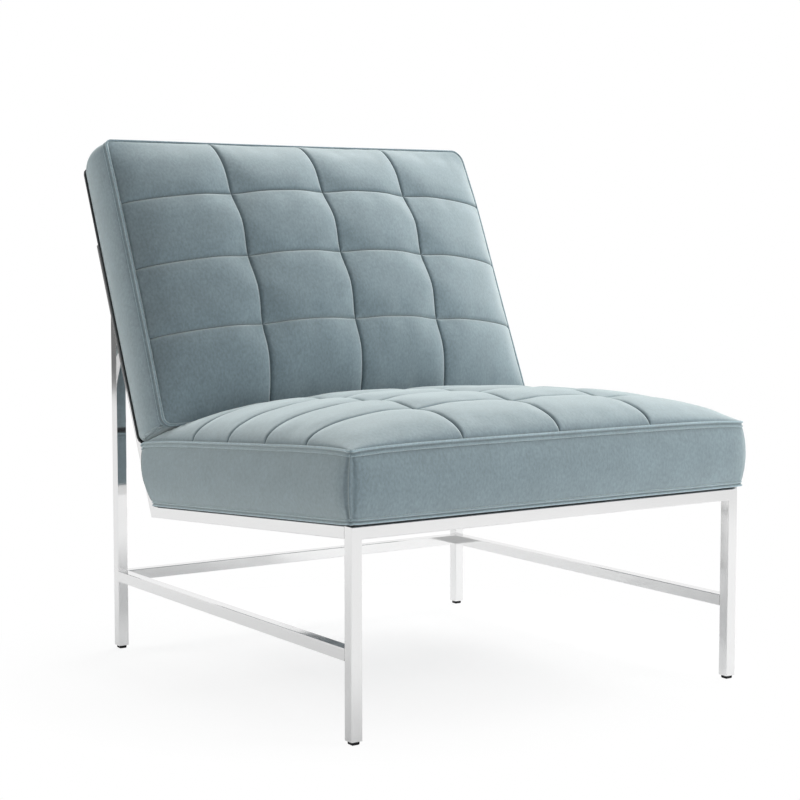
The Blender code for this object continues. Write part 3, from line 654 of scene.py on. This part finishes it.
def stuffed(pad):
    """Final points of a cover's top and sides."""
    xs = grid_lines(-pad.half, pad.half, pad.seam_columns, FABRIC_STEP, SEAM_STEPS, EDGE_STEPS)
    ys = grid_lines(pad.start, pad.stop, pad.seam_rows, FABRIC_STEP, SEAM_STEPS, EDGE_STEPS)
    span = pad.welt - pad.foot
    creases = (FOOT_FLANGE + FLANGE_CREASE, span - pad.flange - FLANGE_CREASE)
    levels = grid_lines(0.0, span, creases, BOXING_STEP, FLANGE_STEPS, BOXING_EDGE_STEPS) / span
    top = pad.top_points(xs, ys, True)
    sides = [pad.side_points(side, levels, True) for side in pad.sides(xs, ys)]
    cloth_xs, cloth_ys, cloth_levels, top_move, side_moves = simulate(pad)
    top += cubic(cubic(top_move, cloth_xs, xs, 0), cloth_ys, ys, 1)
    lines = [(cloth_xs, xs), (cloth_ys, ys)] * 2
    for number, (side, move) in enumerate(zip(sides, side_moves)):
        known, wanted = lines[number]
        if number > 1:
            known, wanted = -known[::-1], -wanted[::-1]
        side += cubic(cubic(move, known, wanted, 0), cloth_levels, levels, 1)
    return xs, ys, levels, top, sides


def corner_painted_light(ring, column):
    """Light and shade painted on the boxing round one vertical seam: shade in its grooves and a
    highlight on its ridge.
    """
    offset = ring[:, :, :2] - ring[column][:, :2]
    reach = np.linalg.norm(offset, axis=2)
    on_side = np.abs(offset[:, :, 1]) > np.abs(offset[:, :, 0])
    on_side_or_front = [shade * bell(reach - RIDGE_GROOVE_PLACE, width * RIDGE_GROOVE_REACH)
                        for shade, width in (SIDE_SHADE, FRONT_SHADE)]
    dark = np.where(reach > RIDGE_REACH, np.where(on_side, *on_side_or_front), 0.0)
    painted_light = CORNER_RIDGE_PAINTED_LIGHT * np.where(ring[:, :, 0] > 0, RIDGE_RIGHT, 1.0)
    return painted_light * (dark - CORNER_RIDGE_PAINTED_HIGHLIGHT * bell(reach, RIDGE_REACH))


def cover(pad):
    """Sewn cover: tufted top and boxing in one shell."""
    xs, ys, levels, top, sides = stuffed(pad)
    points, faces, below = sheet(top, sides)
    piece = new_piece(f"{pad.name}_velvet_cover", pad.plane.place(points), faces, VELVET)
    x, y = np.meshgrid(xs, ys, indexing="ij")
    nearest = np.minimum(*pad.seam_distances(x, y))
    crease = np.zeros(len(points))
    # Painted shade darkening the top's colour along its seams
    crease[:nearest.size] = np.exp(-nearest / CREASE_REACH).ravel()
    # Painted shade along the crease below each welt's flange
    crease[below] = np.maximum(crease[below], FLANGE_PAINTED_SHADE * pad.flange_crease(levels))
    # Painted shade and highlight round the vertical seams at the front corners
    if pad.corner_seams:
        corner = sum(corner_painted_light(points[below], column) for column in corners_of(xs, ys)[:2])
        crease[below] = np.where(corner < 0, corner, np.maximum(crease[below], corner))
    # Painted shade all round the top's edge, under the welt
    crease[below[:, -1]] = 1.0
    set_crease(piece, CREASE_SHADE * crease)
    shell = piece.modifiers.new("fabric thickness", "SOLIDIFY")
    shell.thickness = COVER_THICKNESS
    shell.offset = -1.0
    return piece, sides


def welt_profile(flange_reach):
    """Outline of the flanged welt: reach along the boxing, stand off it and the light and shade painted
    on the pile.
    """
    angles = np.linspace(math.pi, CORD_END, WELT_POINTS)
    share = np.linspace(0.0, 1.0, WELT_POINTS)[1:]
    ridge = smooth_step(2 * share - 1)
    edge_share = np.linspace(0.0, 1.0, FLANGE_EDGE_POINTS + 1)[1:]
    edge = math.pi / 2 * (1 - edge_share)
    cord_stop = CORD_REACH + CORD_RADIUS
    reach = np.concatenate((CORD_REACH + CORD_RADIUS * np.cos(angles),
                            cord_stop + share * (flange_reach - cord_stop),
                            flange_reach + FLANGE_RIDGE * np.cos(edge)))
    stand = np.concatenate((CORD_STAND + CORD_RADIUS * np.sin(angles),
                            FLANGE_STAND + (FLANGE_RIDGE - FLANGE_STAND) * ridge,
                            FLANGE_RIDGE * np.sin(edge)))
    # Painted light along the outline: shade in the groove below the cord, highlights on the cord and the
    # flange's ridge
    to_groove = np.arange(WELT_POINTS)[::-1]
    painted_light = np.concatenate((GROOVE_SHADE * bell(to_groove, GROOVE_SHADE_POINTS)
                           - CORD_PAINTED_HIGHLIGHT * np.sin(angles),
                           GROOVE_SHADE * (1 - share) - FLANGE_RIDGE_PAINTED_HIGHLIGHT * ridge,
                           -FLANGE_RIDGE_PAINTED_HIGHLIGHT * (1 - edge_share)))
    return reach, stand, painted_light


def welt(pad, name, sides, at_top):
    """Flanged welt round the pad, along its top edge or its foot."""
    boxing = np.concatenate([side[:-1] for side in sides])
    if at_top:
        edge, inner = boxing[:, -1], boxing[:, -1 - WELT_LEVELS]
    else:
        edge, inner = boxing[:, 0], boxing[:, WELT_LEVELS]
    along = inner - edge
    for _ in range(WELT_CALM):
        along = (np.roll(along, 1, axis=0) + along + np.roll(along, -1, axis=0)) / 3
    along /= np.linalg.norm(along, axis=1, keepdims=True)
    if not at_top:
        edge = edge - along * (WELT_START + FOOT_DROP)
    run = np.roll(edge, -1, axis=0) - np.roll(edge, 1, axis=0)
    run /= np.linalg.norm(run, axis=1, keepdims=True)
    out = np.cross(run, (0.0, 0.0, 1.0))
    out -= along * np.sum(out * along, axis=1, keepdims=True)
    out /= np.linalg.norm(out, axis=1, keepdims=True)
    reach, stand, painted_light = welt_profile(pad.flange if at_top else FOOT_FLANGE + FOOT_DROP)
    outline = [(r, s + WELT_LIFT) for r, s in zip(reach, stand)]
    outline += [(reach[-1], -WELT_LIFT), (reach[0], -WELT_LIFT)]
    rings = np.stack([edge + along * r + out * s for r, s in outline], axis=1)
    count, size = rings.shape[:2]
    index = np.arange(count * size).reshape(count, size)
    after = np.roll(index, -1, axis=0)
    faces = np.stack((index, after, np.roll(after, -1, axis=1), np.roll(index, -1, axis=1)), axis=-1)
    points = pad.plane.place(rings.reshape(-1, 3))
    piece = new_piece(name, points, faces.reshape(-1, 4).tolist(), VELVET)
    # Painted light and shade round the welt's outline, none on its underside
    set_crease(piece, np.tile(np.append(painted_light, (0.0, 0.0)), count))
    return piece


def foam(pad):
    """Foam block inside the cover, with its crown but none of its stitching."""
    xs = np.linspace(-pad.half, pad.half, FOAM_COUNTS[0])
    ys = np.linspace(pad.start, pad.stop, FOAM_COUNTS[1])
    top = pad.top_points(xs, ys, False, FOAM_INSET)
    levels = np.linspace(*FOAM_LEVELS)
    sides = [pad.side_points(side, levels, False, FOAM_INSET) for side in pad.sides(xs, ys)]
    points, faces, below = sheet(top, sides)
    faces.append(below[::-1, 0].tolist())
    return new_piece(f"{pad.name}_foam_block", pad.plane.place(points), faces, FOAM)


def rear_panel():
    """Velvet panel behind the back pad, softly filled between the bars that press on it."""
    rail = BACK_PLANE.local(node_points("back_rail_top"))[:, 1]
    foot = TUBE + PANEL_ROOM
    half = BACK.half - PANEL_SET_IN
    low = max(back_low(foot), back_low(BACK.foot)) + PANEL_SET_IN
    high = min(back_high(foot), back_high(BACK.foot)) - PANEL_SET_IN
    xs = grid_lines(-half, half, (), PANEL_STEP, (), PANEL_EDGE_STEPS)
    ys = grid_lines(low, high, (), PANEL_STEP, (), PANEL_EDGE_STEPS)
    x, y = np.meshgrid(xs, ys, indexing="ij")
    to_upright = HALF_FRAME - TUBE - np.abs(x)
    to_rail = np.abs(y - rail.mean()) - (rail.max() - rail.min()) / 2
    to_bar = np.clip(np.minimum(to_upright, to_rail), 0.0, None)
    to_edge = np.minimum(half - np.abs(x), np.minimum(y - low, high - y))
    round_off = PANEL_THICKNESS * (1 - np.sqrt(np.clip(to_edge / PANEL_THICKNESS, 0, 1)))
    hem = HEM_DEPTH * bell(to_edge - HEM_PLACE, HEM_REACH)
    puff = PANEL_PUFF * (1 - bell(to_bar, PANEL_PUFF_REACH)) * (1 - bell(to_edge, PANEL_PUFF_REACH))
    rear = foot - puff + np.minimum(round_off + hem, PANEL_DEEPEST)
    front = np.full_like(x, foot + PANEL_THICKNESS)
    index = np.arange(x.size).reshape(x.shape)
    ring = grid_ring(index)
    after = np.roll(ring, -1)
    rear_faces = np.roll(grid_faces(index), -1, axis=1)[:, ::-1]
    walls = np.stack((ring, after, after + x.size, ring + x.size), axis=-1)
    faces = np.concatenate((rear_faces, rear_faces[:, ::-1] + x.size, walls))
    points = np.concatenate([np.stack((x, y, n), axis=-1).reshape(-1, 3) for n in (rear, front)])
    return new_piece("back_velvet_panel", BACK_PLANE.place(points), faces.tolist(), VELVET)


# Materials

def new_material(name, colour, roughness, **settings):
    """Principled material; settings are its other sockets, with _ for a space in their names."""
    material = bpy.data.materials.new(name)
    material.use_nodes = True
    shader = material.node_tree.nodes["Principled BSDF"]
    shader.inputs["Base Color"].default_value = (*colour, 1.0)
    shader.inputs["Roughness"].default_value = roughness
    for socket, value in settings.items():
        shader.inputs[socket.replace("_", " ")].default_value = value
    return material, material.node_tree, shader


def add_node(tree, kind, **values):
    node = tree.nodes.new(kind)
    for name, value in values.items():
        if name in node.inputs:
            node.inputs[name].default_value = value
        else:
            setattr(node, name, value)
    return node


def noise(tree, scale, detail, stretch=(1.0, 1.0, 1.0)):
    """Noise texture in the row frame, at a scale in cells a metre, stretched along an axis."""
    place = add_node(tree, "ShaderNodeTexCoord")
    mapping = add_node(tree, "ShaderNodeMapping", Scale=stretch)
    texture = add_node(tree, "ShaderNodeTexNoise", Scale=scale, Detail=detail)
    tree.links.new(place.outputs["Object"], mapping.inputs["Vector"])
    tree.links.new(mapping.outputs["Vector"], texture.inputs["Vector"])
    return texture.outputs["Fac"]


def spread(tree, value, low, high, new_low, new_high):
    """A value's part from low to high, spread from new_low to new_high."""
    node = add_node(tree, "ShaderNodeMapRange")
    node.inputs["From Min"].default_value = low
    node.inputs["From Max"].default_value = high
    node.inputs["To Min"].default_value = new_low
    node.inputs["To Max"].default_value = new_high
    tree.links.new(value, node.inputs["Value"])
    return node.outputs["Result"]


def mottle(tree, scale, detail, low, high, stretch=(1.0, 1.0, 1.0), middle=NOISE_MIDDLE):
    """Noise between low and high."""
    return spread(tree, noise(tree, scale, detail, stretch), *middle, low, high)


def calculate(tree, operation, first, second=None):
    """Result of a Math node on values from sockets."""
    node = add_node(tree, "ShaderNodeMath", operation=operation)
    tree.links.new(first, node.inputs[0])
    if second is not None:
        tree.links.new(second, node.inputs[1])
    return node.outputs["Value"]


def mixed(tree, factor, first, second):
    """First shader, or the second where the factor is 1."""
    node = add_node(tree, "ShaderNodeMixShader")
    tree.links.new(factor, node.inputs["Fac"])
    tree.links.new(first, node.inputs[1])
    tree.links.new(second, node.inputs[2])
    return node.outputs["Shader"]


def paint(tree, shader, colour, factor):
    """Base colour times a factor that varies over the surface."""
    node = add_node(tree, "ShaderNodeVectorMath", operation="SCALE")
    node.inputs[0].default_value = colour
    tree.links.new(factor, node.inputs["Scale"])
    tree.links.new(node.outputs["Vector"], shader.inputs["Base Color"])


def bump(tree, shader, value, strength, distance):
    node = add_node(tree, "ShaderNodeBump", Strength=strength, Distance=distance)
    tree.links.new(value, node.inputs["Height"])
    tree.links.new(node.outputs["Normal"], shader.inputs["Normal"])


def velvet():
    """Short pile: a matt ground with a pale bloom at grazing angles and a brushed nap."""
    material, tree, shader = new_material(
        "velvet", VELVET_COLOUR, 0.85, Sheen_Weight=1.0, Sheen_Roughness=0.62,
        Sheen_Tint=(*VELVET_BLOOM, 1.0), Specular_IOR_Level=0.15)
    nap = mottle(tree, 26.0, 4.0, 0.93, 1.07)
    pile = mottle(tree, 330.0, 3.0, 0.79, 1.21, (1.0, 0.6, 0.6), PILE_MIDDLE)
    # Painted light and shade: the crease attribute darkens the colour in seams and creases and lightens
    # it on ridges and cords
    crease = add_node(tree, "ShaderNodeAttribute", attribute_name="crease")
    painted_tone = spread(tree, crease.outputs["Fac"], -1.0, 1.0, *PAINTED_LIGHT_TONES)
    factor = calculate(tree, "MULTIPLY", calculate(tree, "MULTIPLY", nap, pile), painted_tone)
    paint(tree, shader, VELVET_COLOUR, factor)
    bump(tree, shader, noise(tree, 900.0, 2.0), 0.35, 0.0004)
    return material


def polished_steel():
    material, tree, shader = new_material("polished_steel", STEEL_COLOUR, 0.05, Metallic=1.0)
    tree.links.new(mottle(tree, 30.0, 3.0, 0.06, 0.11), shader.inputs["Roughness"])
    bump(tree, shader, noise(tree, 60.0, 2.0), 0.02, 0.0005)
    return material


def zinc_steel():
    material, tree, shader = new_material("bolt_steel", ZINC_COLOUR, 0.3, Metallic=1.0)
    tree.links.new(mottle(tree, 700.0, 3.0, 0.22, 0.40), shader.inputs["Roughness"])
    return material


def matt_plastic():
    material, tree, shader = new_material("glide_plastic", PLASTIC_COLOUR, 0.6,
                                          Specular_IOR_Level=0.2)
    bump(tree, shader, noise(tree, 2500.0, 2.0), 0.2, 0.0002)
    return material


def black_board():
    """Black fibreboard, with a paler lining where it faces down."""
    material, tree, shader = new_material("black_board", BOARD_COLOUR, 0.8)
    facing = add_node(tree, "ShaderNodeNewGeometry")
    parts = add_node(tree, "ShaderNodeSeparateXYZ")
    tree.links.new(facing.outputs["Normal"], parts.inputs["Vector"])
    lining = spread(tree, parts.outputs["Z"], *LINING_TURN, LINING_TONE, 1.0)
    shade = mottle(tree, 320.0, 3.0, 0.7, 1.5)
    paint(tree, shader, BOARD_COLOUR, calculate(tree, "MULTIPLY", shade, lining))
    bump(tree, shader, noise(tree, 900.0, 3.0), 0.3, 0.0003)
    return material


def rough_material(name, colour, roughness, texture, strength, distance):
    """Material whose mottled colour is also its relief."""
    material, tree, shader = new_material(name, colour, roughness)
    grain = mottle(tree, *texture)
    paint(tree, shader, colour, grain)
    bump(tree, shader, grain, strength, distance)
    return material


VELVET = velvet()
FOAM = rough_material("foam", FOAM_COLOUR, 0.95, (800.0, 3.0, 0.85, 1.08), 0.6, 0.0006)


# Frame

def dress_frame():
    """Gives every node that stays its material, and adds the welds and the bolts' flush heads."""
    hardwood = rough_material("hardwood", WOOD_COLOUR, 0.65,
                              (90.0, 5.0, 0.75, 1.15, (0.12, 1.0, 1.0)), 0.2, 0.0005)
    webbing = rough_material("webbing", WEBBING_COLOUR, 0.9,
                             (500.0, 2.0, 0.7, 1.4, (1.0, 0.3, 1.0)), 0.5, 0.0006)
    materials = {"polished_steel": polished_steel(), "bolt_steel": zinc_steel(),
                 "glide_plastic": matt_plastic(), "black_board": black_board(),
                 "hardwood": hardwood, "webbing": webbing, "foam": FOAM, "velvet": VELVET}
    for part in frame["record"]["subparts"]:
        node = frame["nodes"][part["node"]]
        node.data.materials.clear()
        node.data.materials.append(materials[part["material_slot"]])
    finish_piece(frame_welds(materials["polished_steel"]), "polished_steel")
    for name in SEAT_BOLTS:
        finish_piece(flush_bolt(name, materials["bolt_steel"]), "bolt_steel", name)


def tube_ends(name):
    """Each cut end of a tube: its normal, and how much that is along the tube, and its corners."""
    places = node_points(name)
    axis = np.linalg.svd(places - places.mean(axis=0), full_matrices=False)[2][0]
    ends = {}
    for face in frame["nodes"][name].data.polygons:
        normal = np.array(face.normal)
        if abs(normal @ axis) > END_TURN:
            key = tuple(np.round(np.append(normal, normal @ places[face.vertices[0]]), 3))
            ends.setdefault(key, (normal, set()))[1].update(face.vertices)
    return [(normal, abs(normal @ axis), places[sorted(corners)]) for normal, corners in ends.values()]


def frame_welds(material):
    """Ground flush welds that close the joints of the tubes, one slab at each cut end."""
    shape = bmesh.new()
    tubes = [part["node"] for part in frame["record"]["subparts"]
             if part["material_slot"] == "polished_steel"]
    for normal, turn, ring in [end for name in tubes for end in tube_ends(name)]:
        reach = np.linalg.norm(ring - ring.mean(axis=0), axis=1).max()
        if reach < WELD_LEAST_REACH or ring[:, 2].max() < WELD_LOWEST:
            continue
        depth = WELD if turn > MITRE_TURN else WELD / 2
        added = [shape.verts.new(point) for point in np.concatenate((ring, ring + depth * normal))]
        result = bmesh.ops.convex_hull(shape, input=added)
        loose = {item for item in result["geom_interior"] + result["geom_unused"]
                 if isinstance(item, bmesh.types.BMVert)}
        bmesh.ops.delete(shape, geom=list(loose), context="VERTS")
    mesh = bpy.data.meshes.new("frame_welds")
    shape.to_mesh(mesh)
    shape.free()
    mesh.materials.append(material)
    piece = bpy.data.objects.new("frame_welds", mesh)
    bpy.context.scene.collection.objects.link(piece)
    return piece


def flush_bolt(name, material):
    """Seat bolt with its head let in flush under the side rail."""
    points = SEAT_PLANE.local(node_points(name))
    points[:, 2] = np.maximum(points[:, 2], -TUBE - HEAD_ROOM)
    faces = [list(face.vertices) for face in frame["nodes"][name].data.polygons]
    return new_piece(f"{name}_flush", SEAT_PLANE.place(points), faces, material, smooth=False)


# Light, floor and camera

def area_light(name, azimuth, height, power):
    """Soft lamp aimed at the chair."""
    azimuth, height = math.radians(azimuth), math.radians(height)
    towards = Vector((math.sin(azimuth) * math.cos(height), -math.cos(azimuth) * math.cos(height),
                      math.sin(height)))
    light = bpy.data.lights.new(name, "AREA")
    light.shape = "DISK"
    light.size = LAMP_SIZE
    light.energy = power
    lamp = bpy.data.objects.new(name, light)
    bpy.context.scene.collection.objects.link(lamp)
    lamp.location = Vector(LAMP_TARGET) + LAMP_DISTANCE * towards
    lamp.rotation_euler = (-towards).to_track_quat("-Z", "Y").to_euler()
    lamp.visible_glossy = False


def cleared_tree(owner):
    """Node tree of a world or material, emptied, and its Light Path's outputs."""
    owner.use_nodes = True
    owner.node_tree.nodes.clear()
    return owner.node_tree, add_node(owner.node_tree, "ShaderNodeLightPath").outputs


def studio_world():
    """White to the camera, white with a grey horizon to polished steel, and a soft fill."""
    world = bpy.data.worlds.new("studio")
    bpy.context.scene.world = world
    tree, path = cleared_tree(world)
    fill = add_node(tree, "ShaderNodeBackground", Color=(*WHITE, 1.0), Strength=WORLD_FILL)
    white = add_node(tree, "ShaderNodeBackground", Color=(*WHITE, 1.0))
    towards = add_node(tree, "ShaderNodeTexCoord")
    parts = add_node(tree, "ShaderNodeSeparateXYZ")
    off_horizon = add_node(tree, "ShaderNodeMath", operation="SUBTRACT")
    off_horizon.inputs[1].default_value = HORIZON
    tree.links.new(towards.outputs["Generated"], parts.inputs["Vector"])
    tree.links.new(parts.outputs["Z"], off_horizon.inputs[0])
    apart = calculate(tree, "ABSOLUTE", off_horizon.outputs["Value"])
    graded = spread(tree, apart, *HORIZON_REACH, HORIZON_SHADE, 1.0)
    level = calculate(tree, "MAXIMUM", graded, path["Is Camera Ray"])
    tree.links.new(level, white.inputs["Strength"])
    seen = calculate(tree, "MAXIMUM", path["Is Camera Ray"], path["Is Glossy Ray"])
    seen = calculate(tree, "MAXIMUM", seen, path["Is Transmission Ray"])
    shader = mixed(tree, seen, fill.outputs["Background"], white.outputs["Background"])
    tree.links.new(shader, add_node(tree, "ShaderNodeOutputWorld").inputs["Surface"])


def floor_material():
    """White floor that keeps a faint shadow: mostly its own white to the camera, matt to light."""
    material = bpy.data.materials.new("white_floor")
    tree, path = cleared_tree(material)
    reflected = path["Is Glossy Ray"]
    matt = add_node(tree, "ShaderNodeBsdfDiffuse", Color=(*FLOOR_COLOUR, 1.0))
    faint = add_node(tree, "ShaderNodeBsdfDiffuse")
    glow = add_node(tree, "ShaderNodeEmission")
    white = add_node(tree, "ShaderNodeEmission")
    for levels, socket in ((FLOOR_SHADE, faint.inputs["Color"]), (FLOOR_GLOW, glow.inputs["Strength"]),
                           (FLOOR_FAR, white.inputs["Strength"])):
        tree.links.new(spread(tree, reflected, 0.0, 1.0, *levels), socket)
    lit = add_node(tree, "ShaderNodeAddShader")
    tree.links.new(faint.outputs["BSDF"], lit.inputs[0])
    tree.links.new(glow.outputs["Emission"], lit.inputs[1])
    place = add_node(tree, "ShaderNodeTexCoord")
    away = add_node(tree, "ShaderNodeVectorMath", operation="DISTANCE")
    away.inputs[1].default_value = SHADOW_MIDDLE
    tree.links.new(place.outputs["Object"], away.inputs[0])
    fade = add_node(tree, "ShaderNodeMix")
    tree.links.new(reflected, fade.inputs["Factor"])
    for reach, side in zip(FLOOR_FADE, "AB"):
        tree.links.new(spread(tree, away.outputs["Value"], *reach, 0.0, 1.0), fade.inputs[side])
    faded = mixed(tree, fade.outputs["Result"], lit.outputs["Shader"], white.outputs["Emission"])
    seen = calculate(tree, "MAXIMUM", path["Is Camera Ray"], reflected)
    shader = mixed(tree, seen, matt.outputs["BSDF"], faded)
    tree.links.new(shader, add_node(tree, "ShaderNodeOutputMaterial").inputs["Surface"])
    return material


def studio():
    half = FLOOR_SIZE / 2
    corners = [(-half, -half, 0.0), (half, -half, 0.0), (half, half, 0.0), (-half, half, 0.0)]
    floor = new_piece("studio_floor", corners, [(0, 1, 2, 3)], floor_material(), smooth=False)
    for lamp in LAMPS:
        area_light(*lamp)
    studio_world()


def photograph_camera():
    lens = bpy.data.cameras.new("photograph_camera")
    lens.sensor_width = CAMERA_SENSOR
    lens.lens = CAMERA_LENS
    lens.shift_x, lens.shift_y = CAMERA_SHIFT
    camera = bpy.data.objects.new("photograph_camera", lens)
    bpy.context.scene.collection.objects.link(camera)
    camera.location = CAMERA_PLACE
    camera.rotation_euler = (math.pi / 2 + CAMERA_PITCH, CAMERA_ROLL, CAMERA_YAW)
    bpy.context.scene.camera = camera


def dress_pad(pad, welts):
    """A pad's cover, its welts and the foam block inside."""
    piece, sides = cover(pad)
    finish_piece(piece, "velvet", f"{pad.name}_cover")
    for name, at_top in welts:
        finish_piece(welt(pad, f"{name}_piping", sides, at_top), "velvet", name)
    block = foam(pad)
    finish_piece(block, "foam", f"{pad.name}_foam")


dress_frame()
dress_pad(SEAT, (("seat_welt_top", True), ("seat_welt_bottom", False)))
dress_pad(BACK, (("back_welt_front", True),))
panel = rear_panel()
finish_piece(panel, "velvet", "back_outer_panel")
studio()
photograph_camera()
bpy.context.scene.view_settings.view_transform = "Standard"
